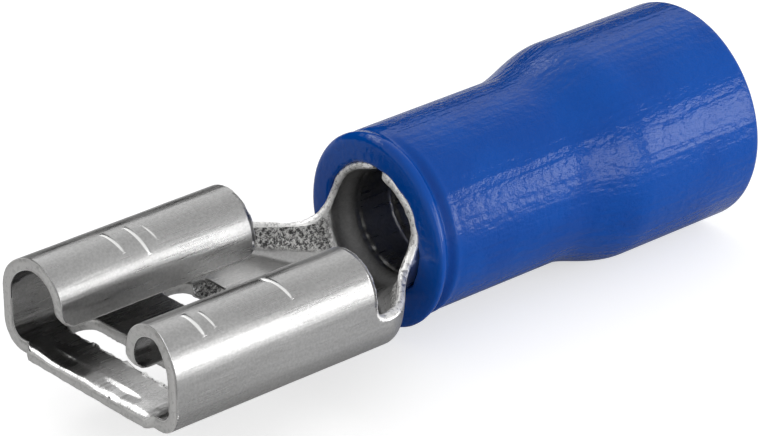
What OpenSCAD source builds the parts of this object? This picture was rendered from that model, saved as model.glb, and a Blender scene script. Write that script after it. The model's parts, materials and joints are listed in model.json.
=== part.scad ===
// Insulated female spade terminal for a 6.3 mm tab.
// One folded sheet-metal contact sits in one moulded sleeve.
// X runs from the mouth to the wire end, Z is up, and the origin is the
// middle of the tab's thickness at the front of the wings. All sizes in mm.

/* [Tab contact] */
// Width across the outside of the rolled wings
contact_w = 7.4; // [6.8:0.1:8.4]
// Height from the underside of the floor to the top of the wings
contact_h = 2.8; // [2.5:0.05:3.4]
// Length of the rolled wings
wing_len = 6.8; // [5.8:0.1:8.5]
// Outer radius of each rolled wing
roll_r = 1.17; // [0.95:0.01:1.3]
// Outer radius of the two bottom corners
corner_r = 0.75; // [0.6:0.05:1]
// Sheet thickness
sheet_t = 0.35; // [0.3:0.01:0.45]
// Thickness of the tab that plugs in
tab_t = 0.8; // [0.6:0.1:0.8]
// How far the tab springs the wings open
tab_grip = 0.05; // [0:0.01:0.1]

/* [Lead-in] */
// How far the front edge of each wing leans back by its tip
wing_setback = 0.28; // [0.1:0.02:0.5]
// Radius of the front corner of each wing's tip
wing_tip_round = 0.75; // [0.4:0.05:0.9]
// Radius of the rear corner of each wing
wing_tail_r = 0.45; // [0.2:0.05:0.8]
// Width of the floor's lip
lip_w = 5.2; // [4:0.1:5.8]
// How far the floor's lip stands out in front of the wings
lip_out = 0.14; // [0.05:0.01:0.3]
// Length of the lip's slope
lip_slope = 0.4; // [0.25:0.05:0.8]
// Thickness of the coined lip at its front
lip_t = 0.18; // [0.12:0.01:0.25]
// How far the lip is bent down
lip_drop = 0.06; // [0:0.01:0.15]

/* [Floor slots] */
// Start of the front slot
slot_x = 1.32; // [1:0.02:1.6]
// Width of each slot
slot_w = 0.85; // [0.6:0.05:1.1]
// Length of each slot across the floor
slot_span = 5.6; // [4:0.1:5.8]
// Distance between the starts of the two slots
slot_pitch = 3.16; // [2.4:0.02:3.4]
// Length of the ramp behind the rear slot
ramp_len = 0.5; // [0.2:0.05:0.7]

/* [Neck] */
// Distance from the wings to the start of the wire barrel
neck_len = 2.95; // [2.4:0.05:4]
// Height of the neck's turned-up sides above the floor's underside
flange_h = 1.1; // [0.95:0.05:1.3]
// Length of the straight part behind the wings
neck_straight = 0.4; // [0.1:0.05:0.8]
// Radius of the notch behind each wing
notch_r = 0.35; // [0.2:0.05:0.6]
// Radius where the neck's edge rises into the barrel's rim
rim_round = 0.65; // [0.4:0.05:0.8]

/* [Wire barrel] */
// Inner radius of the wire barrel
barrel_r = 1.55; // [1.2:0.05:1.8]
// Length of the wire barrel
barrel_len = 5.8; // [4.5:0.1:7]
// Height of the barrel's axis above the floor's underside
barrel_rise = 1.45; // [1.2:0.05:1.8]
// Width of the open seam along the top
seam_w = 0.34; // [0.1:0.02:0.6]
// Radius of the seam's two front corners
seam_round = 0.35; // [0.1:0.05:0.5]
// Distance from the barrel's rim to the first grip groove
groove_start = 0.72; // [0.5:0.02:1.5]
// Number of grip grooves inside the barrel
groove_count = 3; // [0:1:4]
// Distance between the grip grooves
groove_pitch = 1.2; // [0.9:0.1:1.6]
// Depth of the grip grooves
groove_depth = 0.07; // [0.04:0.01:0.12]

/* [Sleeve] */
// Radial gap between the barrel and the sleeve
sleeve_gap = 0.02; // [0:0.01:0.05]
// Wall of the sleeve over the barrel
sleeve_wall = 0.76; // [0.5:0.01:0.9]
// Wall of the sleeve at its wide end
skirt_wall = 0.85; // [0.6:0.05:1]
// Inner radius of the wide end
skirt_r = 2.35; // [2:0.05:2.8]
// Length of the wide end
skirt_len = 4.05; // [3:0.05:6]
// Length of the flare between the barrel and the wide end
flare_len = 2.4; // [1.8:0.1:3.5]
// How far the sleeve starts behind the barrel's rim
sleeve_inset = 0; // [0:0.01:0.2]
// Radius of the sleeve's soft front edge
nose_r = 0.22; // [0.1:0.02:0.5]
// Depth of the crease behind the front edge
crease_depth = 0.08; // [0:0.01:0.15]

/* [Hidden] */
$fn = 72;
eps = 0.01;
tin = [0.72, 0.72, 0.73];
blue = [0.03, 0.13, 0.6];

// Heights, measured from the middle of the tab
floor_top = -tab_t / 2;
floor_z = floor_top - sheet_t;
top_z = floor_z + contact_h;
tip_z = tab_t / 2 - tab_grip;
axis_z = floor_z + barrel_rise;
roll_z = top_z - roll_r;
half_w = contact_w / 2;
roll_y = half_w - roll_r;
lead_tilt = 35;

// Stations along X
barrel_x = wing_len + neck_len;
barrel_end = barrel_x + barrel_len;
sleeve_x = barrel_x + sleeve_inset;
throat_x = barrel_end + 0.1;
flare_x = barrel_end - 0.65;
skirt_x = flare_x + flare_len;
sleeve_end = skirt_x + skirt_len;

// Radii about the barrel's axis
barrel_or = barrel_r + sheet_t;
barrel_mid = barrel_r + sheet_t / 2;
sleeve_bore = barrel_or + sleeve_gap;
sleeve_or = sleeve_bore + sleeve_wall;
skirt_or = skirt_r + skirt_wall;
throat_r = barrel_r + 0.02;
funnel_len = 1.1;
edge_r = 0.15;
flare_steps = 16;
crease_x = sleeve_x + nose_r;
crease_len = 0.42;
crease_steps = 7;

// The neck's skin is a little thinner than the sheet, so that its ends lie inside the walls they join
skin = 0.02;
neck_t = sheet_t - 2 * skin;
embed = 0.3;
overlap = 0.03;
groove_w = 0.3;
neck_steps = 12;
half_points = 20;

function smooth(u) = let (v = max(0, min(1, u))) v * v * (3 - 2 * v);
function mix(a, b, u) = a + (b - a) * u;
function deg(a) = a * 180 / PI;

// Middle of the sheet at station x of the neck: half width, corner radius, height, and how far the sides curl in
function blend(x) = smooth((x - wing_len - neck_straight) / (neck_len - neck_straight));
function neck_w(x) = mix(half_w - sheet_t / 2, barrel_mid, blend(x));
function neck_r(x) = mix(corner_r - sheet_t / 2, barrel_mid, blend(x));
function neck_z(x) = mix(floor_z + sheet_t / 2, axis_z - barrel_mid, blend(x));
function curl_r(x) = neck_r(x) / max(0.02, blend(x));

// Length of sheet from the middle of the floor to the end of the bend, and to the edge
function flat_half(x) = neck_w(x) - neck_r(x);
function bend_half(x) = flat_half(x) + neck_r(x) * PI / 2;
side_h = flange_h - corner_r + notch_r + 0.1;
seam_half = barrel_mid * PI - seam_w / 2 - skin;
function edge_half(x) = mix(bend_half(wing_len) + side_h, seam_half, blend(x));

// Point on the neck at station x, length s from the middle, and depth d outwards
function neck_point(x, s, d) =
    let (f = flat_half(x), r = neck_r(x), b = bend_half(x), c = curl_r(x))
    s <= f ? [x, s, neck_z(x) - d]
    : s <= b ? let (a = deg((s - f) / r)) [x, f + (r + d) * sin(a), neck_z(x) + r - (r + d) * cos(a)]
    : let (a = deg((s - b) / c)) [x, neck_w(x) - c + (c + d) * cos(a), neck_z(x) + r + (c + d) * sin(a)];
function neck_side(x, j, d) =
    let (p = neck_point(x, edge_half(x) * abs(j) / half_points, d))
    [p[0], sign(j) * p[1], p[2]];

neck_start = wing_len - embed;
neck_end = barrel_x + embed;
neck_stations = [for (i = [0:neck_steps]) mix(neck_start, neck_end, i / neck_steps)];

// Half ring of the rolled wing's section, open side down
module roll_ring() {
    intersection() {
        difference() {
            circle(r = roll_r);
            circle(r = roll_r - sheet_t);
        }
        translate([-roll_r, 0]) square([2 * roll_r, roll_r]);
    }
}

// Quarter ring of the bottom corner's section
module corner_ring() {
    intersection() {
        difference() {
            circle(r = corner_r);
            circle(r = corner_r - sheet_t);
        }
        translate([0, -corner_r]) square([corner_r, corner_r]);
    }
}

// Section of one half of the contact, from the middle of the floor to the wing's tip
module half_section() {
    translate([0, floor_z]) square([half_w - corner_r, sheet_t]);
    translate([half_w - corner_r, floor_z + corner_r]) corner_ring();
    translate([half_w - sheet_t, floor_z + corner_r]) square([sheet_t, roll_z - floor_z - corner_r]);
    translate([roll_y, roll_z]) roll_ring();
    translate([half_w - 2 * roll_r, tip_z]) square([sheet_t, roll_z - tip_z]);
}

module contact_section() {
    half_section();
    mirror([1, 0]) half_section();
}

// Turns a Y-Z section into a bar along X
module along_x(len) {
    rotate([90, 0, 90]) linear_extrude(height = len) children();
}

// Turns an X-Z outline into a bar across Y
module across_y(w) {
    translate([0, w / 2, 0]) rotate([90, 0, 0]) linear_extrude(height = w) children();
}

// What the lead-in takes off the front edge of both wings, drawn along each roll's slope
module lead_cut() {
    tip_w = roll_r * sin(lead_tilt) + (top_z - tip_z) * cos(lead_tilt);
    round_x = wing_setback + wing_tip_round;
    round_w = tip_w + 2 * skin - wing_tip_round;
    for (side = [0, 1]) mirror([0, side, 0]) translate([0, roll_y, top_z]) rotate([-lead_tilt, 0, 0])
        translate([0, -0.4 * roll_r, 0]) across_y(1.8 * roll_r) {
            polygon([[-embed, embed], [0, embed], [wing_setback, -round_w], [-embed, -round_w]]);
            difference() {
                translate([-embed, -tip_w - embed]) square([embed + round_x, tip_w + embed - round_w]);
                translate([round_x, -round_w]) circle(r = wing_tip_round);
            }
        }
}

// What the round takes off the rear corner of both wings
module tail_cut() {
    across_y(2 * roll_y) difference() {
        translate([wing_len - wing_tail_r, tip_z - eps]) square([wing_tail_r + eps, wing_tail_r + eps]);
        translate([wing_len - wing_tail_r, tip_z + wing_tail_r]) circle(r = wing_tail_r);
    }
}

// Slot with round ends across the floor
module floor_slot(x) {
    end_y = (slot_span - slot_w) / 2;
    translate([x + slot_w / 2, 0, floor_z - sheet_t]) {
        for (side = [-1, 1]) translate([0, side * end_y, 0]) cylinder(d = slot_w, h = 3 * sheet_t);
        translate([-slot_w / 2, -end_y, 0]) cube([slot_w, 2 * end_y, 3 * sheet_t]);
    }
}

// Ramp that eases the tab over the rear slot's far edge
module slot_ramp() {
    far_x = slot_x + slot_pitch + slot_w;
    across_y(slot_span - slot_w) polygon([
        [far_x - eps, floor_z],
        [far_x + ramp_len, floor_top],
        [far_x + ramp_len, floor_top + sheet_t],
        [far_x - eps, floor_top + sheet_t]]);
}

// Floor's lip: thinned, sloped and bent down a little in front of the wings
module floor_lip() {
    across_y(lip_w) polygon([
        [-lip_out, floor_z - lip_drop],
        [lip_slope, floor_z],
        [lip_slope, floor_top],
        [-lip_out, floor_z - lip_drop + lip_t]]);
}

module lip_room() {
    across_y(lip_w) translate([-eps, floor_z - eps]) square([lip_slope + eps, sheet_t + 2 * eps]);
}

module contact() {
    difference() {
        along_x(wing_len) contact_section();
        lead_cut();
        tail_cut();
        lip_room();
        floor_slot(slot_x);
        floor_slot(slot_x + slot_pitch);
        slot_ramp();
    }
    floor_lip();
}

// Formed sheet between the contact and the barrel, drawn as a thick skin over the stations
module neck() {
    row = 2 * half_points + 1;
    ring = 2 * row;
    last = len(neck_stations) - 1;
    points = [for (x = neck_stations) for (d = [neck_t / 2, -neck_t / 2])
        for (j = [-half_points:half_points]) neck_side(x, j, d)];
    skins = [for (i = [0:last - 1]) for (j = [0:row - 2]) for (k = [0, 1])
        let (a = i * ring + k * row + j, b = a + ring)
        each (k == 1 ? [[a, a + 1, b], [a + 1, b + 1, b]] : [[a, b, a + 1], [a + 1, b, b + 1]])];
    edges = [for (i = [0:last - 1]) for (j = [0, row - 1])
        let (a = i * ring + j, b = a + row, c = a + ring, d = b + ring)
        each (j == 0 ? [[a, b, c], [b, d, c]] : [[a, c, b], [b, c, d]])];
    ends = [for (i = [0, last]) for (j = [0:row - 2])
        let (a = i * ring + j, b = a + row)
        each (i == 0 ? [[a, a + 1, b], [a + 1, b + 1, b]] : [[a, b, a + 1], [a + 1, b, b + 1]])];
    polyhedron(points = points, faces = concat(skins, edges, ends), convexity = 6);
}

// Everything round about the barrel's axis is drawn along Z and laid down here
module on_axis(x) {
    translate([x, 0, axis_z]) rotate([0, 90, 0]) children();
}

// Tube that the wire is crimped in, with its grip grooves
module barrel_tube() {
    difference() {
        on_axis(barrel_x - overlap) cylinder(r = barrel_or, h = barrel_len + overlap);
        on_axis(barrel_x - 2 * overlap) cylinder(r = barrel_r, h = barrel_len + 4 * overlap);
        for (i = [0:1:groove_count - 1])
            on_axis(barrel_x + groove_start + i * groove_pitch)
                cylinder(r = barrel_r + groove_depth, h = groove_w);
    }
}

// Open seam along the top of the barrel, with its two front corners rounded off
module seam_cut() {
    mouth_y = seam_w / 2 + seam_round;
    translate([barrel_x, 0, axis_z]) linear_extrude(height = 2 * barrel_or) {
        translate([-embed, -seam_w / 2]) square([barrel_len + 2 * embed, seam_w]);
        difference() {
            translate([-embed, -mouth_y]) square([embed + seam_round, 2 * mouth_y]);
            for (side = [-1, 1]) translate([seam_round, side * mouth_y]) circle(r = seam_round);
        }
    }
}

// Notch behind the wings: its floor is the neck's edge, and its far side the barrel's rim
module notch_cut() {
    low = floor_z + flange_h;
    high = axis_z + 2 * barrel_or;
    near = wing_len - skin;
    across_y(2 * contact_w) {
        translate([near, low + rim_round]) square([barrel_x - near, high]);
        translate([near + notch_r, low]) square([barrel_x - near - notch_r - rim_round, high]);
        translate([near + notch_r, low + notch_r]) circle(r = notch_r);
        translate([near, low + notch_r]) square([2 * notch_r, high]);
        translate([barrel_x - rim_round, low + rim_round]) circle(r = rim_round);
    }
}

module terminal_body() {
    color(tin) union() {
        contact();
        difference() {
            union() {
                neck();
                barrel_tube();
            }
            seam_cut();
            notch_cut();
        }
    }
}

// Outer radius of the sleeve at station x, with the crease behind its nose and the flare
function crease(u) = u < 0 || u > 1 ? 0 : crease_depth * (1 - cos(360 * u)) / 2;
function sleeve_r(x) = mix(sleeve_or, skirt_or, smooth((x - flare_x) / flare_len)) - crease((x - crease_x) / crease_len);

module insulating_sleeve() {
    front_edge = [for (a = [0:30:90])
        [sleeve_bore + edge_r * (1 - sin(a)), sleeve_x + edge_r * (1 - cos(a))]];
    funnel = [
        [sleeve_bore, throat_x],
        [throat_r, throat_x],
        [skirt_r, throat_x + funnel_len],
        [skirt_r, sleeve_end - edge_r],
        [skirt_r + edge_r, sleeve_end]];
    rear_edge = [for (a = [0:30:90])
        [skirt_or - edge_r * (1 - sin(a)), sleeve_end - edge_r * (1 - cos(a))]];
    flare = [for (i = [flare_steps:-1:0]) let (x = flare_x + flare_len * i / flare_steps) [sleeve_r(x), x]];
    creases = [for (i = [crease_steps:-1:1]) let (x = crease_x + crease_len * i / crease_steps) [sleeve_r(x), x]];
    nose = [for (a = [0:15:90])
        [sleeve_or - nose_r * (1 - cos(a)), sleeve_x + nose_r * (1 - sin(a))]];
    color(blue) on_axis(0) rotate_extrude() polygon(concat(front_edge, funnel, rear_edge, flare, creases, nose));
}

terminal_body();
insulating_sleeve();
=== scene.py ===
"""Looks of an insulated female spade terminal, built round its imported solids.

The contact is one flat blank that is thickened and folded, and the sleeve is one turned profile.
"""

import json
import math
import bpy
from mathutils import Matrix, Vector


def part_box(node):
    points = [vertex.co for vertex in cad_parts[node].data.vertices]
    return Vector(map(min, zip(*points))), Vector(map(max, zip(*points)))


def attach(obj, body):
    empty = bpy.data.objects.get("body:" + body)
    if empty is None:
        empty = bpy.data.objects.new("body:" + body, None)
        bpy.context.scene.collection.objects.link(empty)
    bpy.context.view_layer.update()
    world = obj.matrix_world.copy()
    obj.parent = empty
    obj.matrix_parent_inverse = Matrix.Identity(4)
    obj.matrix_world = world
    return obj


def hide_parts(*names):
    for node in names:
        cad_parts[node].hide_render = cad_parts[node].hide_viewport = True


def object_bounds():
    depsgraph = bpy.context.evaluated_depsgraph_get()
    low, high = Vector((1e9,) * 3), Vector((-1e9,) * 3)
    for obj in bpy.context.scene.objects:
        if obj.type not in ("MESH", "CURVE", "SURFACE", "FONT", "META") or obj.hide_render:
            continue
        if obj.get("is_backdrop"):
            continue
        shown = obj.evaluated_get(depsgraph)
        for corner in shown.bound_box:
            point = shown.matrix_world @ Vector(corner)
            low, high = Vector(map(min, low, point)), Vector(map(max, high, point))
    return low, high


bl_info = {
    "name": "Spade Terminal",
    "version": (1, 0, 0),
    "blender": (4, 5, 0),
    "location": "3D View > Sidebar > Terminal",
    "description": "Builds a folded sheet contact, its moulded sleeve and a plain studio",
    "category": "Add Mesh",
}

import bmesh
import bpy
from bpy.props import FloatProperty, FloatVectorProperty, IntProperty, PointerProperty
from mathutils import Matrix, Vector, noise

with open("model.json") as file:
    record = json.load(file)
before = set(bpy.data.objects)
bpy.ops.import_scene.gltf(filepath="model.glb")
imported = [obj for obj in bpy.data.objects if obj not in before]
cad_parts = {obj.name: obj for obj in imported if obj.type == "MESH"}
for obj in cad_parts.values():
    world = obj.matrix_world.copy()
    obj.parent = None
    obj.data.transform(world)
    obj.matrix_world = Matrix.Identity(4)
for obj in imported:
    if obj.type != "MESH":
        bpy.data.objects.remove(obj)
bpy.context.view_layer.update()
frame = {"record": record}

MM = 0.001
MOUNTS = {m["name"]: m for m in frame["record"]["mounts"]}
BODY_LOW, BODY_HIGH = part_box("terminal_body")
SLEEVE_LOW, SLEEVE_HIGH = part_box("insulating_sleeve")
BORE = MOUNTS["wire_barrel"]
ENTRY = MOUNTS["wire_entry"]
AXIS_Z = BORE["pos_m"][2]
BARREL_LENGTH = BORE["dims"]["length_mm"] * MM
SKIRT_RADIUS = ENTRY["dims"]["r_mm"] * MM


# ---------------------------------------------------------------- sizes


def length(name, millimetres, description):
    """A length that the panel shows."""
    return FloatProperty(name=name, description=description, default=millimetres * MM, unit="LENGTH")


def paint(name, colour, description):
    """A colour that the panel shows."""
    return FloatVectorProperty(name=name, description=description, default=colour, subtype="COLOR")


class ContactSizes(bpy.types.PropertyGroup):
    """Sizes of the folded contact, its neck and its barrel"""

    sheet: length("Sheet", 0.35, "Sheet thickness")
    tab: length("Tab", 0.8, "Thickness of the tab that plugs in")
    grip: length("Grip", 0.05, "How far the tab springs the wings")
    wing_length: length("Wing Length", 6.8, "Length of the rolled wings")
    height: length("Height", 2.8, "Height over the rolled wings")
    roll_radius: length("Roll", 1.17, "Outer radius of each rolled wing")
    corner_radius: length("Corner", 0.75, "Outer radius of the bottom corners")
    setback: length("Setback", 0.2, "How far the wings' front leans back")
    tip_round: length("Tip Round", 0.6, "Radius of the wing tip's front corner")
    tail_round: length("Tail Round", 0.45, "Radius of the wing tip's rear corner")
    lip_width: length("Lip Width", 5.2, "Width of the floor's lip")
    lip_slope: length("Lip Slope", 0.4, "Length of the lip's slope")
    lip_thin: length("Lip Edge", 0.18, "Thickness at the lip's edge")
    lip_drop: length("Lip Drop", 0.06, "How far the lip is bent down")
    slot_start: length("Slot Start", 1.32, "Start of the front slot")
    slot_width: length("Slot Width", 0.85, "Width of each floor slot")
    slot_span: length("Slot Span", 5.6, "Length of each slot across the floor")
    slot_pitch: length("Slot Pitch", 3.16, "Distance between the two slots")
    ramp: length("Ramp", 0.5, "Length of the ramp behind the rear slot")
    flange: length("Flange", 1.1, "Height of the neck's upturned sides")
    neck_straight: length("Neck Straight", 0.4, "Straight part behind the wings")
    notch: length("Notch", 0.35, "Radius of the notch behind each wing")
    rim_round: length("Rim Round", 1.1, "Radius where the neck rises to the rim")
    barrel_radius: length("Barrel", BORE["dims"]["r_mm"], "Inner radius of the wire barrel")
    seam: length("Seam", 0.34, "Width of the barrel's open seam")
    seam_round: length("Seam Round", 0.35, "Radius of the seam's front corners")
    groove_start: length("Groove Start", 0.72, "Rim to the first grip groove")
    groove_pitch: length("Groove Pitch", 1.2, "Distance between grip grooves")
    groove_width: length("Groove Width", 0.14, "Width of a grip groove")
    groove_depth: length("Groove Depth", 0.04, "Depth of a grip groove")
    edge: length("Edge", 0.05, "Softness of the sheared edges")
    rim_edge: length("Rim Edge", 0.1, "Softness of the neck's and rim's edges")
    pitch: length("Mesh Pitch", 0.1, "Distance between mesh lines")


class SleeveSizes(bpy.types.PropertyGroup):
    """Sizes of the moulded sleeve"""

    bore: length("Bore", 1.92, "Inner radius over the barrel")
    front_radius: length("Front Radius", 2.68, "Outer radius over the barrel")
    nose: length("Nose", 0.22, "Radius of the soft front edge")
    flare_start: length("Flare Start", 14.9, "Start of the flare")
    flare_length: length("Flare Length", 2.4, "Length of the flare")
    skirt_wall: length("Skirt Wall", 0.85, "Wall of the wide end")
    funnel: length("Funnel", 1.1, "Length of the inner funnel")
    edge: length("Edge", 0.15, "Radius of the plain edges")
    pitch: length("Mesh Pitch", 0.12, "Distance between mesh lines")
    steps: IntProperty(name="Steps", description="Steps round the axis", default=192, min=24, max=360)


class FinishColours(bpy.types.PropertyGroup):
    """Colours of the finishes"""

    tin: paint("Tin", (0.46, 0.458, 0.455), "Tin-plated sheet")
    shear: paint("Sheared Edge", (0.62, 0.615, 0.605), "Bare sheared edge")
    blue: paint("Sleeve", (0.0, 0.061, 0.33), "Moulded sleeve")
    floor: paint("Floor", (0.6, 0.6, 0.6), "Studio floor")


def ease(u):
    """0 below 0, 1 above 1, and a smooth step between."""
    u = min(1.0, max(0.0, u))
    return u * u * (3 - 2 * u)


def mix(a, b, u):
    return a + (b - a) * u


def hump(u, width):
    """A smooth bump of height 1 round 0."""
    return math.exp(-(u / width) ** 2)


# ---------------------------------------------------------------- node helpers


def add(tree, kind, **settings):
    """Adds a node and sets the properties that are named."""
    node = tree.nodes.new(kind)
    for key, value in settings.items():
        setattr(node, key, value)
    return node


def join(tree, source, target):
    tree.links.new(source, target)


def feed(tree, socket, value):
    """Links an output, or writes a plain value."""
    if isinstance(value, bpy.types.NodeSocket):
        tree.links.new(value, socket)
    else:
        socket.default_value = value


def calc(tree, operation, *values, clamp=False):
    node = add(tree, "ShaderNodeMath", operation=operation, use_clamp=clamp)
    for socket, value in zip(node.inputs, values):
        feed(tree, socket, value)
    return node.outputs[0]


def product(tree, first, *others):
    for other in others:
        first = calc(tree, "MULTIPLY", first, other)
    return first


def span(tree, value, low, high, to_low=0.0, to_high=1.0):
    """Maps low..high to to_low..to_high with soft ends."""
    node = add(tree, "ShaderNodeMapRange", interpolation_type="SMOOTHSTEP")
    keys = ("Value", "From Min", "From Max", "To Min", "To Max")
    for key, item in zip(keys, (value, low, high, to_low, to_high)):
        feed(tree, node.inputs[key], item)
    return node.outputs["Result"]


def zone(tree, value, low, high, fade):
    """1 between two values, with soft ends."""
    rise = span(tree, value, low - fade / 2, low + fade / 2)
    fall = span(tree, value, high - fade / 2, high + fade / 2, 1.0, 0.0)
    return calc(tree, "MULTIPLY", rise, fall)


def object_place(tree):
    return add(tree, "ShaderNodeTexCoord").outputs["Object"]


def attribute(tree, name):
    return add(tree, "ShaderNodeAttribute", attribute_name=name, attribute_type="GEOMETRY").outputs


def axes(tree, vector):
    """The three coordinates of a vector."""
    node = add(tree, "ShaderNodeSeparateXYZ")
    join(tree, vector, node.inputs[0])
    return node.outputs


def grain(tree, vector, waves, detail=2.0, rough=0.5, stretch=(1.0, 1.0, 1.0)):
    """Noise with so many waves a millimetre, drawn out by stretch; the vector is in metres."""
    mapping = add(tree, "ShaderNodeMapping")
    mapping.inputs["Scale"].default_value = [waves / MM * k for k in stretch]
    join(tree, vector, mapping.inputs["Vector"])
    node = add(tree, "ShaderNodeTexNoise", noise_dimensions="3D")
    for key, value in (("Scale", 1.0), ("Detail", detail), ("Roughness", rough)):
        node.inputs[key].default_value = value
    join(tree, mapping.outputs[0], node.inputs["Vector"])
    return node.outputs["Fac"]


def rgba(colour, factor=1.0):
    return (*(factor * c for c in colour), 1)


def blend_colours(tree, mask, low, high):
    node = add(tree, "ShaderNodeMix", data_type="RGBA")
    for key, value in (("Factor", mask), ("A", low), ("B", high)):
        feed(tree, node.inputs[key], value)
    return node.outputs["Result"]


def bump(tree, height, depth, normal=None):
    """Relief as deep as so many millimetres, over the relief that normal carries."""
    node = add(tree, "ShaderNodeBump")
    node.inputs["Strength"].default_value = 1.0
    node.inputs["Distance"].default_value = depth * MM
    join(tree, height, node.inputs["Height"])
    if normal is not None:
        join(tree, normal, node.inputs["Normal"])
    return node.outputs["Normal"]


def new_material(name):
    material = bpy.data.materials.new(name)
    material.use_nodes = True
    tree = material.node_tree
    shader = next(n for n in tree.nodes if n.type == "BSDF_PRINCIPLED")
    return material, tree, shader


def new_group(name, inputs, outputs):
    """Shader node group with named float and vector sockets."""
    tree = bpy.data.node_groups.new(name, "ShaderNodeTree")
    for key, kind, default in inputs:
        socket = tree.interface.new_socket(name=key, in_out="INPUT", socket_type=kind)
        if default is not None:
            socket.default_value = default
    for key, kind in outputs:
        tree.interface.new_socket(name=key, in_out="OUTPUT", socket_type=kind)
    return tree, add(tree, "NodeGroupInput").outputs, add(tree, "NodeGroupOutput").inputs


def use_group(tree, group, **values):
    node = add(tree, "ShaderNodeGroup", node_tree=group)
    for key, value in values.items():
        feed(tree, node.inputs[key.title()], value)
    return node.outputs


# ---------------------------------------------------------------- effects


def score_group():
    """How deep a short tool score is at a place on the flat blank."""
    group = bpy.data.node_groups.get("Tool Score")
    if group:
        return group
    tree, given, out = new_group(
        "Tool Score",
        [("Place", "NodeSocketVector", None), ("From", "NodeSocketVector", None),
         ("To", "NodeSocketVector", None), ("Width", "NodeSocketFloat", 0.1),
         ("Depth", "NodeSocketFloat", 1.0)],
        [("Height", "NodeSocketFloat")],
    )

    def vector(operation, first, second=None, scale=None):
        node = add(tree, "ShaderNodeVectorMath", operation=operation)
        join(tree, first, node.inputs[0])
        if second is not None:
            join(tree, second, node.inputs[1])
        if scale is not None:
            join(tree, scale, node.inputs["Scale"])
        return node.outputs["Value"] if operation in ("DOT_PRODUCT", "LENGTH") else node.outputs["Vector"]

    along = vector("SUBTRACT", given["To"], given["From"])
    place = vector("SUBTRACT", given["Place"], given["From"])
    whole = vector("DOT_PRODUCT", along, along)
    share = calc(tree, "DIVIDE", vector("DOT_PRODUCT", place, along), whole, clamp=True)
    miss = vector("LENGTH", vector("SUBTRACT", place, vector("SCALE", along, scale=share)))
    near = calc(tree, "SUBTRACT", 1.0, calc(tree, "DIVIDE", miss, given["Width"]), clamp=True)
    ends = calc(tree, "POWER", product(tree, share, calc(tree, "SUBTRACT", 1.0, share), 4.0), 0.4)
    join(tree, product(tree, span(tree, near, 0.0, 1.0), ends, given["Depth"]), out["Height"])
    return tree


def brushed_group():
    """Lengthwise rolling lines and small pits of plated sheet, with the roughness that goes with them."""
    group = bpy.data.node_groups.get("Brushed Plating")
    if group:
        return group
    tree, given, out = new_group(
        "Brushed Plating",
        [("Place", "NodeSocketVector", None), ("Low", "NodeSocketFloat", 0.25),
         ("High", "NodeSocketFloat", 0.37)],
        [("Height", "NodeSocketFloat"), ("Roughness", "NodeSocketFloat"), ("Stain", "NodeSocketFloat")],
    )
    lines = grain(tree, given["Place"], 9.0, 3.0, 0.6, (0.07, 1.0, 1.0))
    pits = grain(tree, given["Place"], 14.0, 2.0, 0.6, (0.5, 1.0, 1.0))
    clouds = grain(tree, given["Place"], 0.7, 1.0, 0.4, (0.4, 1.0, 1.0))
    height = calc(tree, "ADD", calc(tree, "MULTIPLY", lines, 0.7), calc(tree, "MULTIPLY", pits, 0.3))
    wear_and_edge_highlight = calc(tree, "ADD", calc(tree, "MULTIPLY", clouds, 0.4), calc(tree, "MULTIPLY", lines, 0.6))
    join(tree, height, out["Height"])
    join(tree, span(tree, wear_and_edge_highlight, 0.36, 0.64, given["Low"], given["High"]), out["Roughness"])
    join(tree, span(tree, clouds, 0.35, 0.65), out["Stain"])
    return tree


# ---------------------------------------------------------------- finishes


SCORES = (
    # from x, s and to x, s on the flat blank in mm, width, depth
    ((1.20, -6.30), (1.28, -5.52), 0.11, 1.0),
    ((1.62, -6.18), (1.70, -5.62), 0.08, 0.9),
    ((4.00, -6.60), (4.20, -5.56), 0.10, 1.0),
    ((2.45, 6.30), (2.62, 7.05), 0.10, 0.9),
    ((3.15, 6.36), (3.32, 7.30), 0.10, 1.0),
    ((3.60, 6.50), (3.74, 7.04), 0.08, 0.7),
)
# bare metal in the tool scores, and the colour of the painted glints at the burr and the painted edge
# highlight
SCORE_AND_HIGHLIGHT_METAL = (0.92, 0.92, 0.91, 1)
ROUGH_COINED, ROUGH_MARKS = 0.52, 0.6

# depths of relief in mm
PLATING_RELIEF, GRIT_RELIEF, SCORE_RELIEF, TEAR_RELIEF, SKIN_RELIEF = 0.0075, 0.06, 0.03, 0.03, 0.062


def tin_masks(tree, f, flat, place):
    """Where the sheet is coined, where the barrel starts, the front slot's burr and the lip's polish."""
    x, width, inside = flat["X"], calc(tree, "ABSOLUTE", flat["Y"]), calc(tree, "LESS_THAN", flat["Z"], 0.0)
    slot = f.g["slot_start"]
    slot_half = f.g["slot_span"] / 2
    ramp_from = slot + f.g["slot_pitch"] + f.g["slot_width"]
    floor_top = f.floor + f.t

    risen = span(tree, axes(tree, place)["Z"], (floor_top + 0.02) * MM, (floor_top + 0.16) * MM)
    neck = calc(tree, "MULTIPLY", zone(tree, x, f.wing + 0.02, f.barrel - 0.25, 0.3), risen)
    ramp = calc(tree, "MULTIPLY", zone(tree, x, ramp_from, ramp_from + f.g["ramp"], 0.1),
                span(tree, width, slot_half - 0.3, slot_half - 0.5))
    coined = product(tree, calc(tree, "MAXIMUM", neck, ramp), inside)
    barrel = product(tree, zone(tree, x, f.barrel - 0.2, f.barrel + 0.9, 1.4), inside)
    broken = grain(tree, place, 3.0, 2.0, 0.6, (0.3, 1.0, 0.3))
    # the front slot's burr: real relief, and painted glints in the colour
    burr = product(tree, zone(tree, x, slot - 0.1, slot + 0.05, 0.04),
                   span(tree, width, slot_half - 0.2, slot_half - 0.4), span(tree, broken, 0.47, 0.53))
    polish = product(tree, span(tree, x, 1.0, 0.5, 0.0, 0.1), inside)
    return coined, barrel, burr, polish


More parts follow.
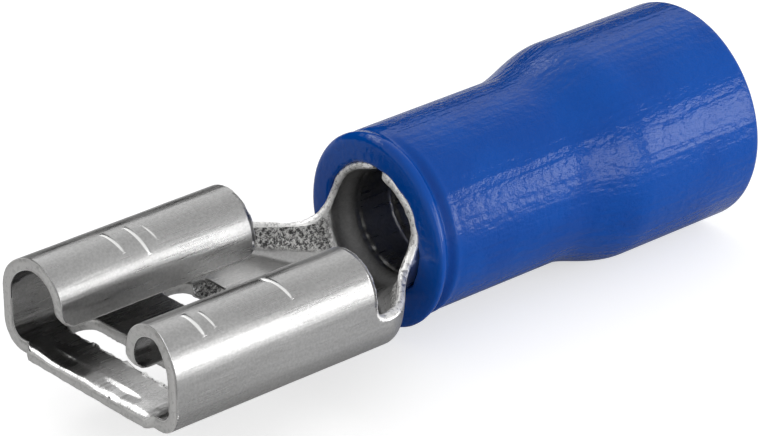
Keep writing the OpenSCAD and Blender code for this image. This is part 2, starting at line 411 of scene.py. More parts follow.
def tin_material(colours, f):
    """Tin-plated sheet: rolling lines, a coarse coined neck and ramp, a painted highlight along the edges and
    painted glints at the front slot's burr, a few tool scores.
    """
    material, tree, shader = new_material("tinned_sheet")
    place = object_place(tree)
    flat = attribute(tree, "flat_place")["Vector"]
    # edge marks where a highlight is painted along the skin's edges
    edge = attribute(tree, "edge_highlight")["Fac"]
    coined, barrel, burr, polish = tin_masks(tree, f, axes(tree, flat), place)
    plating = use_group(tree, brushed_group(), place=place)
    grit = grain(tree, place, 11.0, 3.0, 0.75)
    sparkle = grain(tree, place, 13.0, 2.0, 0.6)

    depth = None
    for start, end, wide, deep in SCORES:
        score = use_group(tree, score_group(), place=flat, width=wide, depth=deep)["Height"]
        score.node.inputs["From"].default_value = (*start, 1.0)
        score.node.inputs["To"].default_value = (*end, 1.0)
        depth = score if depth is None else calc(tree, "MAXIMUM", depth, score)
    uneven = product(tree, calc(tree, "SUBTRACT", grit, 0.5), 0.9)
    # painted highlight: the skin turns bright along its edges, broken up by grit
    painted_edge_highlight = product(tree, span(tree, calc(tree, "ADD", edge, uneven), 0.45, 0.8), 0.8)
    # bright marks: bare metal in the tool scores, painted glints at the burr, and the painted edge highlight
    scores_and_highlights = calc(tree, "MAXIMUM", span(tree, depth, 0.25, 0.7), calc(tree, "MAXIMUM", burr, painted_edge_highlight))

    tin, shear = tuple(colours.tin), tuple(colours.shear)
    plain = blend_colours(tree, plating["Stain"], rgba(tin, 0.94), rgba(tin))
    fleck = blend_colours(tree, span(tree, sparkle, 0.3, 0.7), rgba(tin, 0.84), rgba(tin, 1.18))
    coarse = blend_colours(tree, span(tree, grit, 0.4, 0.6), rgba(tin, 0.25), rgba(shear, 1.5))
    ground = blend_colours(tree, coined, blend_colours(tree, 0.5, plain, fleck), coarse)
    join(tree, blend_colours(tree, scores_and_highlights, ground, SCORE_AND_HIGHLIGHT_METAL), shader.inputs["Base Color"])

    satin = calc(tree, "SUBTRACT", plating["Roughness"], polish)
    dulled = product(tree, calc(tree, "MAXIMUM", barrel, coined), ROUGH_COINED)
    rough = calc(tree, "MAXIMUM", calc(tree, "MAXIMUM", satin, dulled), product(tree, scores_and_highlights, ROUGH_MARKS))
    join(tree, rough, shader.inputs["Roughness"])
    shader.inputs["Metallic"].default_value = 1.0

    relief = bump(tree, plating["Height"], PLATING_RELIEF)
    rugged = calc(tree, "MULTIPLY", grit, calc(tree, "MAXIMUM", coined, burr))
    relief = bump(tree, rugged, GRIT_RELIEF, relief)
    relief = bump(tree, product(tree, depth, -1.0), SCORE_RELIEF, relief)
    join(tree, relief, shader.inputs["Normal"])
    return material


def shear_material(colours):
    """Bare sheared edge: a smooth face with a painted highlight along its rounded borders, torn on the neck
    and rim.
    """
    material, tree, shader = new_material("sheared_edge")
    flat = axes(tree, attribute(tree, "flat_place")["Vector"])
    tears = grain(tree, object_place(tree), 8.0, 3.0, 0.65)
    # painted highlight along the rounded borders of the face
    border_highlight = span(tree, calc(tree, "ABSOLUTE", flat["Z"]), 0.6, 0.9)
    torn = span(tree, flat["X"], 6.6, 7.4)
    spots = product(tree, span(tree, tears, 0.36, 0.5), calc(tree, "ADD", 0.3, product(tree, torn, 0.7)))
    mask = calc(tree, "MAXIMUM", product(tree, border_highlight, 0.8), spots)
    shear = tuple(colours.shear)
    join(tree, blend_colours(tree, mask, rgba(shear, 0.85), rgba(shear, 1.52)), shader.inputs["Base Color"])
    join(tree, span(tree, tears, 0.3, 0.7, 0.38, 0.55), shader.inputs["Roughness"])
    shader.inputs["Metallic"].default_value = 1.0
    height = product(tree, tears, calc(tree, "ADD", 0.15, torn))
    join(tree, bump(tree, height, TEAR_RELIEF), shader.inputs["Normal"])
    return material


def sleeve_material(colours):
    """Moulded PVC: leathery skin with lengthwise draw lines, smoother and glossier at the lip."""
    material, tree, shader = new_material("blue_pvc")
    place = object_place(tree)
    skin = grain(tree, place, 5.0, 3.0, 0.6, (0.8, 1.0, 1.0))
    draw = grain(tree, place, 4.5, 1.5, 0.5, (0.05, 1.0, 1.0))
    shade = grain(tree, place, 0.5)
    red, green, blue = colours.blue
    deep = (red * 0.8, green * 0.86, blue * 0.9, 1)
    base = blend_colours(tree, span(tree, shade, 0.35, 0.65), deep, rgba((red, green, blue)))
    join(tree, base, shader.inputs["Base Color"])

    front, lip_skin = SLEEVE_LOW.x, 0.4
    moulded = span(tree, axes(tree, place)["X"], front + 0.5 * MM, front + 1.2 * MM, lip_skin, 1.0)
    gloss = span(tree, moulded, lip_skin, 1.0, 0.5, 1.0)
    join(tree, product(tree, span(tree, skin, 0.3, 0.7, 0.12, 0.2), gloss), shader.inputs["Roughness"])
    shader.inputs["Specular IOR Level"].default_value = 0.21
    height = calc(tree, "ADD", product(tree, skin, 0.52), product(tree, draw, 0.55))
    join(tree, bump(tree, product(tree, height, moulded), SKIN_RELIEF), shader.inputs["Normal"])
    return material


# ---------------------------------------------------------------- the blank and its folds


# lengths in mm
TINY, ON_EDGE = 1e-6, 1e-4
CURL_FROM = 0.02  # how far the neck has turned into the barrel when its sides start to curl
SEARCH_STEPS = 40
LIP_FADE = 0.12
WALL_CUTS, ROUND_LEVEL = 4, 0.78
GROOVE_COUNT, GROOVE_WALL = 3, 0.04
FRONT_MARGIN, FRONT_PITCH = 0.1, 0.04
SMOOTH_ROUNDS = 30


class Folds:
    """Where a place on the flat blank goes, all in millimetres.

    x runs along the part, s across the sheet from the middle of the floor, and d outwards from its middle.
    """

    def __init__(self, sizes):
        g = {key: getattr(sizes, key) / MM for key in ContactSizes.__annotations__}
        self.g = g
        self.half = (BODY_HIGH.y - BODY_LOW.y) / 2 / MM
        self.lip_out = -BODY_LOW.x / MM
        self.end = BODY_HIGH.x / MM
        self.barrel = self.end - BARREL_LENGTH / MM
        self.t = g["sheet"]
        self.floor = -g["tab"] / 2 - self.t
        self.top = self.floor + g["height"]
        self.tip = g["tab"] / 2 - g["grip"]
        self.roll_z = self.top - g["roll_radius"]
        self.roll_y = self.half - g["roll_radius"]
        self.roll_r = g["roll_radius"] - self.t / 2
        self.corner_r = g["corner_radius"] - self.t / 2
        self.axis = AXIS_Z / MM
        self.barrel_r = g["barrel_radius"] + self.t / 2
        self.neck_start = g["wing_length"] + g["neck_straight"]
        self.wing = g["wing_length"]
        # lengths of sheet from the middle of the floor
        self.flat = self.half - g["corner_radius"]
        self.bend = self.flat + self.corner_r * math.pi / 2
        self.roll_in = self.bend + self.roll_z - (self.floor + g["corner_radius"])
        self.roll_out = self.roll_in + self.roll_r * math.pi
        self.edge = self.roll_out + self.roll_z - self.tip
        self.flange = self.bend + g["flange"] - g["corner_radius"]
        self.seam = self.barrel_r * math.pi - g["seam"] / 2

    def place(self, x, s, d):
        side, s = (-1, -s) if s < 0 else (1, s)
        b = ease((x - self.neck_start) / (self.barrel - self.neck_start))
        w = mix(self.half - self.t / 2, self.barrel_r, b)
        r = mix(self.corner_r, self.barrel_r, b)
        z = mix(self.floor + self.t / 2, self.axis - self.barrel_r, b)
        flat = w - r
        bend = flat + r * math.pi / 2
        if s <= flat:
            y, z = s, z - d
        elif s <= bend:
            a = (s - flat) / r
            y, z = flat + (r + d) * math.sin(a), z + r - (r + d) * math.cos(a)
        elif b > CURL_FROM:
            c = r / b
            a = (s - bend) / c
            y, z = w - c + (c + d) * math.cos(a), z + r + (c + d) * math.sin(a)
        elif s <= self.roll_in:
            y, z = w + d, z + r + s - bend
        elif s <= self.roll_out:
            a = (s - self.roll_in) / self.roll_r
            reach = self.roll_r + d
            y, z = self.roll_y + reach * math.cos(a), self.roll_z + reach * math.sin(a)
        else:
            y, z = self.roll_y - self.roll_r - d, self.roll_z - (s - self.roll_out)
        return x, side * y, z

    def height_at(self, x, height):
        """Length of sheet at which the neck's side reaches a height above the floor's underside."""
        low, high = 0.0, self.edge
        for _ in range(SEARCH_STEPS):
            middle = (low + high) / 2
            if self.place(x, middle, 0)[2] < self.floor + height:
                low = middle
            else:
                high = middle
        return low

    def lip_share(self, width):
        """1 across the floor's lip and 0 beside it."""
        return ease((self.g["lip_width"] / 2 + LIP_FADE / 2 - width) / LIP_FADE)


def spaced(marks, pitch):
    """Stations that hit every mark and stand about one pitch apart."""
    out = [marks[0]]
    for a, b in zip(marks, marks[1:]):
        count = max(1, round((b - a) / pitch))
        out += [a + (b - a) * k / count for k in range(1, count + 1)]
    return out


def round_corner(points, corner, along, across, radius, solid):
    """Moves the points near a square corner onto a round one.

    along and across point away from the corner down its two edges. Inside a solid corner every ring of
    points follows, and at a corner of an opening only the edge itself does.
    """
    centre = corner + radius * (along + across)
    for v in points:
        p = Vector((v.co.x, v.co.y)) - corner
        a, b = p.dot(along), p.dot(across)
        inset = min(a, b)
        near = -TINY < a < radius - TINY and -TINY < b < radius - TINY
        if not near or (not solid and inset > ON_EDGE):
            continue
        reach = radius - inset
        q = math.pi / 4 * (1 - (max(a, b) - inset) / reach)
        first, second = (along, across) if a >= b else (across, along)
        spot = centre - reach * (second * math.cos(q) + first * math.sin(q))
        v.co.x, v.co.y = spot


class MakeContact(bpy.types.Operator):
    """Cuts the flat blank, gives it its thickness and rounded edges, and folds it"""

    bl_idname = "terminal.make_contact"
    bl_label = "Make Contact"
    bl_options = {"REGISTER", "UNDO"}

    def execute(self, context):
        sizes = context.scene.terminal_contact
        f = Folds(sizes)
        g = f.g
        pitch = g["pitch"]
        slots = [g["slot_start"], g["slot_start"] + g["slot_pitch"]]
        ramp_from = slots[1] + g["slot_width"]
        grooves = [f.barrel + g["groove_start"] + k * g["groove_pitch"] for k in range(GROOVE_COUNT)]
        lip_end = g["lip_slope"] + FRONT_MARGIN
        marks = [lip_end, slots[0], slots[0] + g["slot_width"], slots[1], ramp_from,
                 ramp_from + g["ramp"], f.wing - g["tail_round"], f.wing, f.wing + g["notch"],
                 f.barrel - g["rim_round"], f.barrel, f.barrel + g["seam_round"]]
        for start in grooves:
            stop = start + g["groove_width"]
            marks += [start, start + GROOVE_WALL, stop - GROOVE_WALL, stop]
        columns = spaced([0.0, lip_end], FRONT_PITCH)[:-1] + spaced([*marks, f.end], pitch)
        slot_end = g["slot_span"] / 2
        shared = spaced([0.0, slot_end - g["slot_width"] / 2, slot_end, f.flat, f.bend, f.flange], pitch)
        wing_rows = spaced([f.flange, f.flange + g["notch"], f.roll_in, f.roll_out, f.edge], pitch)
        low = len(shared) - 1
        rows = shared + wing_rows[1:]
        barrel_flange = f.height_at(f.barrel, g["flange"])
        barrel_rows = spaced([barrel_flange, f.seam], pitch)
        wing_top = len(rows) - 1
        barrel_top = low + len(barrel_rows) - 1

        bm = bmesh.new()
        bm.verts.layers.float_vector.new("flat_place")
        # a layer for the painted highlight along the sheet's edges
        bm.verts.layers.float.new("edge_highlight")
        bmesh.ops.create_grid(bm, x_segments=len(columns) - 1, y_segments=2 * wing_top, size=1.0)
        bm.verts.ensure_lookup_table()
        index = {}
        for v in bm.verts:
            i = round((v.co.x + 1) / 2 * (len(columns) - 1))
            j = round(v.co.y * wing_top)
            index[v] = (i, j)

        def wanted(face):
            cells = [index[v] for v in face.verts]
            x = sum(columns[i] for i, j in cells) / 4
            j = min(abs(j) for i, j in cells)
            if x < f.wing:
                in_slot = any(start < x < start + g["slot_width"] for start in slots)
                return not (in_slot and rows[j] < slot_end - TINY)
            return j < (low if x < f.barrel else barrel_top)

        bmesh.ops.delete(bm, geom=[face for face in bm.faces if not wanted(face)], context="FACES")
        bmesh.ops.delete(bm, geom=[v for v in bm.verts if not v.link_faces], context="VERTS")
        for v in bm.verts:
            i, j = index[v]
            x, side, j = columns[i], (-1 if j < 0 else 1), abs(j)
            if x <= f.wing + TINY:
                s = rows[j]
            elif j <= low:
                s = rows[j] * f.height_at(x, g["flange"]) / f.flange
            else:
                s = barrel_rows[j - low]
            v.co = (x, side * s, 0)

        self.round_outline(bm, f, slots, slot_end, barrel_flange)
        self.lean_fronts(bm, f)
        self.thicken(bm, f)
        self.fold(bm, f, slots, ramp_from, grooves)
        mesh = bpy.data.meshes.new("folded_contact")
        bmesh.ops.recalc_face_normals(bm, faces=bm.faces[:])
        place = bm.verts.layers.float_vector["flat_place"]
        for face in bm.faces:
            face.smooth = True
            if any(abs(v[place].z) < 0.99 for v in face.verts):
                face.material_index = 1
        bm.to_mesh(mesh)
        bm.free()
        contact = bpy.data.objects.new("folded_contact", mesh)
        context.scene.collection.objects.link(contact)
        colours = context.scene.terminal_colours
        for material in (tin_material(colours, f), shear_material(colours)):
            mesh.materials.append(material)
        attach(contact, "root")
        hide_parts("terminal_body")
        return {"FINISHED"}

    def round_outline(self, bm, f, slots, slot_end, barrel_flange):
        """Rounds the corners of the wings, notches, rim, seam and slots, on both halves of the blank."""
        g = f.g

        def flange_at(x):
            return f.height_at(min(x, f.barrel), g["flange"])

        for side in (-1, 1):
            half = [v for v in bm.verts if v.co.y * side > TINY]
            edge = [v for v in half if v.is_boundary]
            ahead, back = Vector((-1, 0)), Vector((1, 0))
            out, inward = Vector((0, side)), Vector((0, -side))

            def at(x, s):
                return Vector((x, s * side))

            round_corner(half, at(0, f.edge), back, inward, g["tip_round"], True)
            round_corner(half, at(f.wing, f.edge), ahead, inward, g["tail_round"], True)
            round_corner(half, at(f.barrel, f.seam), back, inward, g["seam_round"], True)
            round_corner(edge, at(f.wing, f.flange), out, back, g["notch"], False)
            risen = [v for v in edge if v.co.x > f.neck_start]
            for v in risen:
                v.co.y -= side * flange_at(v.co.x)
            round_corner(risen, at(f.barrel, 0), ahead, out, g["rim_round"], False)
            for v in risen:
                v.co.y += side * flange_at(v.co.x)
            for start in slots:
                r = g["slot_width"] / 2
                round_corner(edge, at(start, slot_end), back, inward, r, False)
                round_corner(edge, at(start + 2 * r, slot_end), ahead, inward, r, False)
        ahead_of_rim = g["rim_round"] + 0.4
        behind_rim, inner_share = 0.6, 0.6
        loose = [v for v in bm.verts if not v.is_boundary
                 and f.barrel - ahead_of_rim < v.co.x < f.barrel + behind_rim
                 and f.bend * inner_share < abs(v.co.y) < barrel_flange + ahead_of_rim]
        for _ in range(SMOOTH_ROUNDS):
            bmesh.ops.smooth_vert(bm, verts=loose, factor=0.5,
                                  use_axis_x=True, use_axis_y=True, use_axis_z=False)

    def lean_fronts(self, bm, f):
        """Leans the wings' front edges back, and draws the floor's lip forward."""
        g = f.g
        crown = f.roll_in + f.roll_r * math.pi / 2
        below, beyond, fade = 1.1, 1.6, 1.4
        for v in bm.verts:
            x, s = v.co.x, abs(v.co.y)
            early, late = ease((s - crown + below) / below), ease((s - crown) / beyond)
            lean = g["setback"] * (0.75 * early + 0.25 * late)
            v.co.x += lean * max(0.0, 1 - x / fade)
            v.co.x -= f.lip_out * f.lip_share(s) * max(0.0, 1 - x / g["lip_slope"])

    def thicken(self, bm, f):
        """Gives the blank two skins and rounded walls; z is -1 on the inner skin and 1 on the outer one."""
        g = f.g
        for v in bm.verts:
            v.co.z = 1
        made = bmesh.ops.extrude_face_region(bm, geom=bm.faces[:], use_keep_orig=True)
        for v in made["geom"]:
            if isinstance(v, bmesh.types.BMVert):
                v.co.z = -1
        tall = [e for e in bm.edges if abs(e.verts[0].co.z - e.verts[1].co.z) > 1.5]
        bmesh.ops.subdivide_edges(bm, edges=tall, cuts=WALL_CUTS, use_grid_fill=True)
        bmesh.ops.recalc_face_normals(bm, faces=bm.faces[:])
        walls = {}
        for face in bm.faces:
            if abs(face.normal.z) < 0.5:
                for v in face.verts:
                    walls.setdefault(v, Vector((0, 0)))
                    walls[v] += Vector((face.normal.x, face.normal.y))
        place = bm.verts.layers.float_vector["flat_place"]
        for v in bm.verts:
            v[place] = v.co
        slot_reach = g["slot_span"] / 2 + 0.1
        # this layer marks the edges; tin_material paints a highlight on the skin beside them
        wear_and_edge_highlight = bm.verts.layers.float["edge_highlight"]
        for v, out in walls.items():
            v[wear_and_edge_highlight] = 1.0
            level = abs(v.co.z)
            out.normalize()
            rough = noise.noise(Vector((v.co.x * 4, v.co.y * 4, v.co.z * 3)))
            fine = noise.noise(Vector((v.co.x * 11, v.co.y * 11, v.co.z * 4)))
            soft = g["edge"] if v.co.x < f.wing - 0.5 else g["rim_edge"]
            on_skin, on_round = level > 0.9, level > 0.5
            inset = soft if on_skin else 0.3 * soft if on_round else 0.0
            in_slot = slot_reach > abs(v.co.y) and v.co.x > 0.6
            torn = 0.03 if v.co.x > f.wing or in_slot else 0.012
            shift = -inset + torn * (rough + 0.8 * fine)
            v.co.x += out.x * shift
            v.co.y += out.y * shift
            if on_round and level < 0.9:
                v.co.z = math.copysign(ROUND_LEVEL, v.co.z)

    def fold(self, bm, f, slots, ramp_from, grooves):
        """Shapes both skins of the sheet, and folds every point into its place."""
        for v in bm.verts:
            x, s, k = v.co
            inner, outer = -f.t / 2, f.t / 2
            inner, outer = self.coin_lip(f, x, s, inner, outer)
            inner = self.press_inside(f, slots, ramp_from, grooves, x, s, inner)
            d = mix(inner, outer, (k + 1) / 2)
            d += 0.008 * noise.noise(Vector((x * 0.9, s * 0.9, 3.1)))
            px, py, pz = f.place(x, s, d)
            v.co = (px * MM, py * MM, pz * MM)

    def coin_lip(self, f, x, s, inner, outer):
        """Bends the lip down, and thins it from above with a low step across its root."""
        g = f.g
        width = abs(s)
        lip = f.lip_share(width)
        slope = min(1.0, max(0.0, (g["lip_slope"] - x) / (g["lip_slope"] + f.lip_out)))
        outer += g["lip_drop"] * lip * slope
        uneven = 0.9 + 0.6 * noise.noise(Vector((s * 2, 0.3, 7.7)))
        swell = abs(math.sin((s - 0.2) * math.pi / 2.1)) * uneven
        step = 0.05 * min(1.0, swell) * ease((2.35 - width) / 0.3)
        drop = step * ease((g["lip_slope"] + 0.08 - x) / 0.13) + 0.05 * slope
        inner += lip * mix(drop, f.t - g["lip_thin"] + g["lip_drop"], slope ** 9)
        return inner, outer

    def press_inside(self, f, slots, ramp_from, grooves, x, s, inner):
        """Coins the ramp, the grip grooves and the barrel's mouth, and raises the front slot's burr."""
        g = f.g
        width = abs(s)
        ramp_half = (g["slot_span"] - g["slot_width"]) / 2 + 0.02
        if width < ramp_half and ramp_from - 0.05 < x < ramp_from + g["ramp"]:
            inner += (f.t - 0.05) * (1 - max(0.0, x - ramp_from) / g["ramp"])
        for start in grooves:
            if start + 0.01 < x < start + g["groove_width"] - 0.01:
                inner += g["groove_depth"] * max(0.1, 0.55 + 1.2 * noise.noise(Vector((s * 5, 0.5, start))))
        lead = 0.9
        if x > f.barrel - lead:
            mouth = 0.04 + 0.09 * ease((s + 1.5) / 3)
            inner += mouth * ease((x - f.barrel + lead) / 0.7) * ease((f.barrel + lead - x) / lead)
        if abs(x - slots[0]) < 0.07 and width < g["slot_span"] / 2:
            inner -= 0.17 * max(0.0, noise.noise(Vector((s * 6, 1.5, 0.2))))
        return inner


# lengths in mm
THROAT_GAP, THROAT_STEP = 0.1, 0.35
BORE_STEPS, EDGE_STEPS, NOSE_STEPS, FUNNEL_STEPS = 30, 4, 6, 8
LIP_REACH, LIP_PITCH = 1.2, 0.045
SOFT_REACH = 2.0
WELD = 0.0005


class MakeSleeve(bpy.types.Operator):
    """Turns the sleeve's profile round the barrel's axis and softens its front lip"""

    bl_idname = "terminal.make_sleeve"
    bl_label = "Make Sleeve"
    bl_options = {"REGISTER", "UNDO"}

    def execute(self, context):
        sizes = context.scene.terminal_sleeve
        g = {key: getattr(sizes, key) / MM for key in SleeveSizes.__annotations__ if key != "steps"}
        front, end = SLEEVE_LOW.x / MM, SLEEVE_HIGH.x / MM
        axis = AXIS_Z / MM
        skirt = SKIRT_RADIUS / MM
        wide = skirt + g["skirt_wall"]
        barrel_end = BODY_HIGH.x / MM
        e = g["edge"]

        def outside(x):
            return mix(g["front_radius"], wide, ease((x - g["flare_start"]) / g["flare_length"]))

        def arc(cx, cr, radius, start, stop, count):
            """Points round a soft edge; the angle is from the front, turning outwards."""
            return [(cx - radius * math.cos(a), cr + radius * math.sin(a))
                    for a in (math.radians(mix(start, stop, k / count)) for k in range(count + 1))]

        def rear_arc(radius, start, stop):
            """A soft edge at the wide end, mirrored from one at the front."""
            points = arc(end + e, radius, e, start, stop, EDGE_STEPS)
            return [(end - (x - end), r) for x, r in reversed(points)]

        bore, nose = g["bore"], g["nose"]
        throat = barrel_end + THROAT_GAP
        profile = [(mix(throat, front + e, k / BORE_STEPS), bore) for k in range(BORE_STEPS)]
        profile += arc(front + e, bore + e, e, -90, 0, EDGE_STEPS)
        profile += arc(front + nose, g["front_radius"] - nose, nose, 0, 90, NOSE_STEPS)
        lip_end = front + LIP_REACH
        stations = spaced([front + nose + 0.04, lip_end], LIP_PITCH)[:-1]
        stations += spaced([lip_end, end - e], g["pitch"])
        profile += [(x, outside(x)) for x in stations[:-1]]
        profile += rear_arc(wide - e, 0, 90) + rear_arc(skirt + e, -90, 0)
        inside = spaced([throat + g["funnel"], end - e - g["pitch"]], g["pitch"] * 2)[::-1]
        profile += [(x, skirt) for x in inside]
        for k in range(1, FUNNEL_STEPS + 1):
            share = k / FUNNEL_STEPS
            profile.append((throat + g["funnel"] * (1 - share), mix(skirt, bore - THROAT_STEP, share)))

        bm = bmesh.new()
        ring = [bm.verts.new((x * MM, 0, (axis + r) * MM)) for x, r in profile]
        edges = [bm.edges.new((a, b)) for a, b in zip(ring, ring[1:] + ring[:1])]
        bmesh.ops.spin(bm, geom=ring + edges, cent=(0, 0, axis * MM), axis=(1, 0, 0), angle=math.tau,
                       steps=sizes.steps, use_merge=True)
        bmesh.ops.remove_doubles(bm, verts=bm.verts[:], dist=WELD * MM)
        self.soften(bm, front, axis, g)
        bmesh.ops.recalc_face_normals(bm, faces=bm.faces[:])
        for face in bm.faces:
            face.smooth = True
        mesh = bpy.data.meshes.new("moulded_sleeve")
        bm.to_mesh(mesh)
        bm.free()
        sleeve = bpy.data.objects.new("moulded_sleeve", mesh)
        context.scene.collection.objects.link(sleeve)
        mesh.materials.append(sleeve_material(context.scene.terminal_colours))
        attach(sleeve, "root")
        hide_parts("insulating_sleeve")
        return {"FINISHED"}

    def soften(self, bm, front, axis, g):
        """Presses the crease behind the lip, and makes the lip full below and ragged at the metal."""
        for v in bm.verts:
            x = v.co.x / MM
            y, z = v.co.y / MM, v.co.z / MM - axis
            r = math.hypot(y, z)
            u = x - front
            if u > SOFT_REACH:
                continue
            a = math.atan2(z, y)
            ring = Vector((math.cos(a), math.sin(a), 0))
            wobble = noise.noise(ring * 1.3 + Vector((0, 0, 0.4)))
            ragged = noise.noise(ring * 4.0 + Vector((0, 0, 2.4)))
            share = min(1.0, max(0.0, (r - g["bore"]) / (g["front_radius"] - g["bore"])))
            near = ease((math.cos(a - math.radians(195)) + 0.25) / 0.9)
            below = ease((math.cos(a - math.radians(-120)) - 0.1) / 0.8)
            at = 0.44 + 0.05 * wobble
            crease = hump(u - at, 0.13)
            shoulder = hump(u - at - 0.24, 0.1)
            lip = hump(u - 0.15, 0.22)
            nip = hump(u - 0.2 - 0.03 * ragged, 0.05)
            grow = lip * (0.02 + 0.16 * below) - (0.04 + 0.14 * near) * crease
            grow = grow + 0.03 * near * shoulder - 0.025 * near * nip
            inner = hump(u, 0.14) * (1 - share)
            shift = inner * (0.07 + (0.08 + 0.08 * near) * ragged)
            scale = (r + grow * share - shift) / r
            v.co.x = (x - 0.1 * below * lip * share - 0.05 * inner) * MM
            v.co.y = y * scale * MM
            v.co.z = (z * scale + axis) * MM


# ---------------------------------------------------------------- studio


FLOOR_GLOW, MIRROR_GLOW = 0.6, 0.7
MIRROR_NEAR, MIRROR_FAR = -10, -24  # y in mm between which the floor's glow fades in
FLOOR_HALF = 1.5  # metres
DAYLIGHT = 1.5
TENT = (
    # share of the way round from the front's horizon over the top, brightness
    (0.0, 0.85), (0.20, 0.85), (0.32, 0.74), (0.45, 0.68), (0.55, 0.72), (0.68, 0.92),
    (0.80, 1.1), (0.84, 1.15), (0.85, 0.02), (1.0, 0.02),
)
LAMPS = (
    # name, place and facing, width and height in mm, power in W
    ("front_panel", (69.5, -55, 12.5), (0, -0.99, 0.14), 38, 35, 0.023),
    ("flare_panel", (23, -55, 12.5), (0, -0.99, 0.14), 20, 32, 0.0095),
    ("rear_panel", (-4, 99, 100), (-0.10, 0.70, 0.70), 120, 30, 0.04),
)
AZIMUTH, ELEVATION, ROLL = (math.radians(angle) for angle in (-40.207, 26.248, -0.894))
TARGET, DISTANCE = (9.991, 0, 0.95), 117.657
LENS, SENSOR = 205.3, 36


def floor_material(colours):
    """Pale floor that keeps the shadow. It glows in view, and in reflections only well in front."""
    material, tree, shader = new_material("studio_floor")
    tree.nodes.remove(shader)
    out = next(n for n in tree.nodes if n.type == "OUTPUT_MATERIAL")
    matt = add(tree, "ShaderNodeBsdfDiffuse")
    matt.inputs["Color"].default_value = rgba(colours.floor)
    glow = add(tree, "ShaderNodeEmission")
    path = add(tree, "ShaderNodeLightPath").outputs
    depth = axes(tree, object_place(tree))["Y"]
    mirrored = calc(tree, "ADD", path["Is Glossy Ray"], path["Is Transmission Ray"], clamp=True)
    mirrored = product(tree, mirrored, span(tree, depth, MIRROR_NEAR * MM, MIRROR_FAR * MM, 0.0, MIRROR_GLOW))
    seen = product(tree, path["Is Camera Ray"], FLOOR_GLOW)
    join(tree, calc(tree, "ADD", seen, mirrored), glow.inputs["Strength"])
    both = add(tree, "ShaderNodeAddShader")
    join(tree, matt.outputs[0], both.inputs[0])
    join(tree, glow.outputs[0], both.inputs[1])
    join(tree, both.outputs[0], out.inputs["Surface"])
    return material


def studio_world():
    """A light tent: even at the front, dimmer overhead, brightest high behind, and dark low behind."""
    world = bpy.data.worlds.new("studio")
    world.use_nodes = True
    tree = world.node_tree
    back = next(n for n in tree.nodes if n.type == "BACKGROUND")
    out = next(n for n in tree.nodes if n.type == "OUTPUT_WORLD")
    way = axes(tree, add(tree, "ShaderNodeTexCoord").outputs["Generated"])
    angle = calc(tree, "ARCTAN2", way["Z"], calc(tree, "MULTIPLY", way["Y"], -1.0))
    ramp = add(tree, "ShaderNodeValToRGB")
    join(tree, calc(tree, "DIVIDE", angle, math.pi), ramp.inputs[0])
    strip = ramp.color_ramp
    while len(strip.elements) < len(TENT):
        strip.elements.new(0.5)
    for element, (place, level) in zip(strip.elements, TENT):
        element.position = place
        element.color = rgba((level / DAYLIGHT,) * 3)
    join(tree, ramp.outputs[0], back.inputs["Color"])
    back.inputs["Strength"].default_value = DAYLIGHT
    white = add(tree, "ShaderNodeBackground")
    white.inputs["Color"].default_value = (1, 1, 1, 1)
    mixer = add(tree, "ShaderNodeMixShader")
    join(tree, add(tree, "ShaderNodeLightPath").outputs["Is Camera Ray"], mixer.inputs[0])
    join(tree, back.outputs[0], mixer.inputs[1])
    join(tree, white.outputs[0], mixer.inputs[2])
    join(tree, mixer.outputs[0], out.inputs["Surface"])
    return world


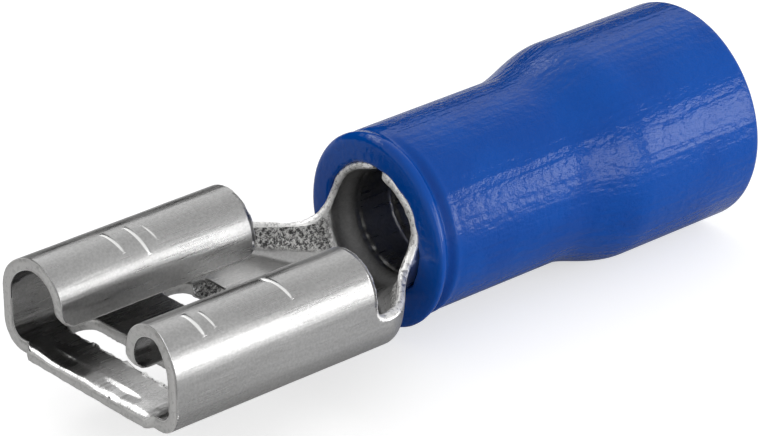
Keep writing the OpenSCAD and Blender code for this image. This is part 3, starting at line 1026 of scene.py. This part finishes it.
class MakeStudio(bpy.types.Operator):
    """Lays the floor, hangs the light and sets the camera"""

    bl_idname = "terminal.make_studio"
    bl_label = "Make Studio"
    bl_options = {"REGISTER", "UNDO"}

    def execute(self, context):
        scene = context.scene
        self.lay_floor(scene)
        scene.world = studio_world()
        for name, place, way, width, tall, power in LAMPS:
            lamp = bpy.data.lights.new(name, "AREA")
            lamp.shape = "RECTANGLE"
            lamp.size, lamp.size_y = width * MM, tall * MM
            lamp.energy = power
            thing = bpy.data.objects.new(name, lamp)
            thing.location = Vector(place) * MM
            thing.rotation_euler = Vector(way).to_track_quat("Z", "Y").to_euler()
            thing.visible_camera = False
            scene.collection.objects.link(thing)
        self.set_camera(scene)
        scene.view_settings.view_transform = "Standard"
        return {"FINISHED"}

    def lay_floor(self, scene):
        """Lays a square floor under the part."""
        low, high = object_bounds()
        bm = bmesh.new()
        bmesh.ops.create_grid(bm, x_segments=1, y_segments=1, size=FLOOR_HALF)
        bmesh.ops.translate(bm, verts=bm.verts[:], vec=((low.x + high.x) / 2, 0, low.z))
        mesh = bpy.data.meshes.new("floor")
        bm.to_mesh(mesh)
        bm.free()
        floor = bpy.data.objects.new("floor", mesh)
        mesh.materials.append(floor_material(scene.terminal_colours))
        scene.collection.objects.link(floor)
        floor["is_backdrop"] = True

    def set_camera(self, scene):
        """Stands the camera off its target, on a line that the azimuth and elevation give."""
        camera = bpy.data.cameras.new("camera")
        camera.sensor_width = SENSOR
        camera.lens = LENS
        camera.clip_start, camera.clip_end = 0.01, 10
        eye = bpy.data.objects.new("camera", camera)
        level = Vector((math.cos(AZIMUTH), math.sin(AZIMUTH), 0))
        back = Vector((math.sin(AZIMUTH) * math.cos(ELEVATION), -math.cos(AZIMUTH) * math.cos(ELEVATION),
                       math.sin(ELEVATION)))
        rise = back.cross(level)
        right = level * math.cos(ROLL) + rise * math.sin(ROLL)
        up = rise * math.cos(ROLL) - level * math.sin(ROLL)
        eye.matrix_world = Matrix((right, up, back)).transposed().to_4x4()
        eye.location = Vector(TARGET) * MM + back * DISTANCE * MM
        scene.collection.objects.link(eye)
        scene.camera = eye


class TerminalPanel(bpy.types.Panel):
    """Buttons and sizes of the spade terminal"""

    bl_idname = "VIEW3D_PT_terminal"
    bl_label = "Spade Terminal"
    bl_space_type = "VIEW_3D"
    bl_region_type = "UI"
    bl_category = "Terminal"

    def draw(self, context):
        layout = self.layout
        for operator in OPERATORS:
            layout.operator(operator.bl_idname)
        for name, group in GROUPS:
            box = layout.box()
            for key in group.__annotations__:
                box.prop(getattr(context.scene, name), key)


OPERATORS = (MakeContact, MakeSleeve, MakeStudio)
GROUPS = (
    ("terminal_contact", ContactSizes),
    ("terminal_sleeve", SleeveSizes),
    ("terminal_colours", FinishColours),
)


def register():
    for name, group in GROUPS:
        bpy.utils.register_class(group)
        setattr(bpy.types.Scene, name, PointerProperty(type=group))
    for part in (*OPERATORS, TerminalPanel):
        bpy.utils.register_class(part)


def unregister():
    for part in (TerminalPanel, *reversed(OPERATORS)):
        bpy.utils.unregister_class(part)
    for name, group in reversed(GROUPS):
        delattr(bpy.types.Scene, name)
        bpy.utils.unregister_class(group)


def main():
    register()
    bpy.ops.terminal.make_contact()
    bpy.ops.terminal.make_sleeve()
    bpy.ops.terminal.make_studio()


if __name__ == "__main__":
    main()
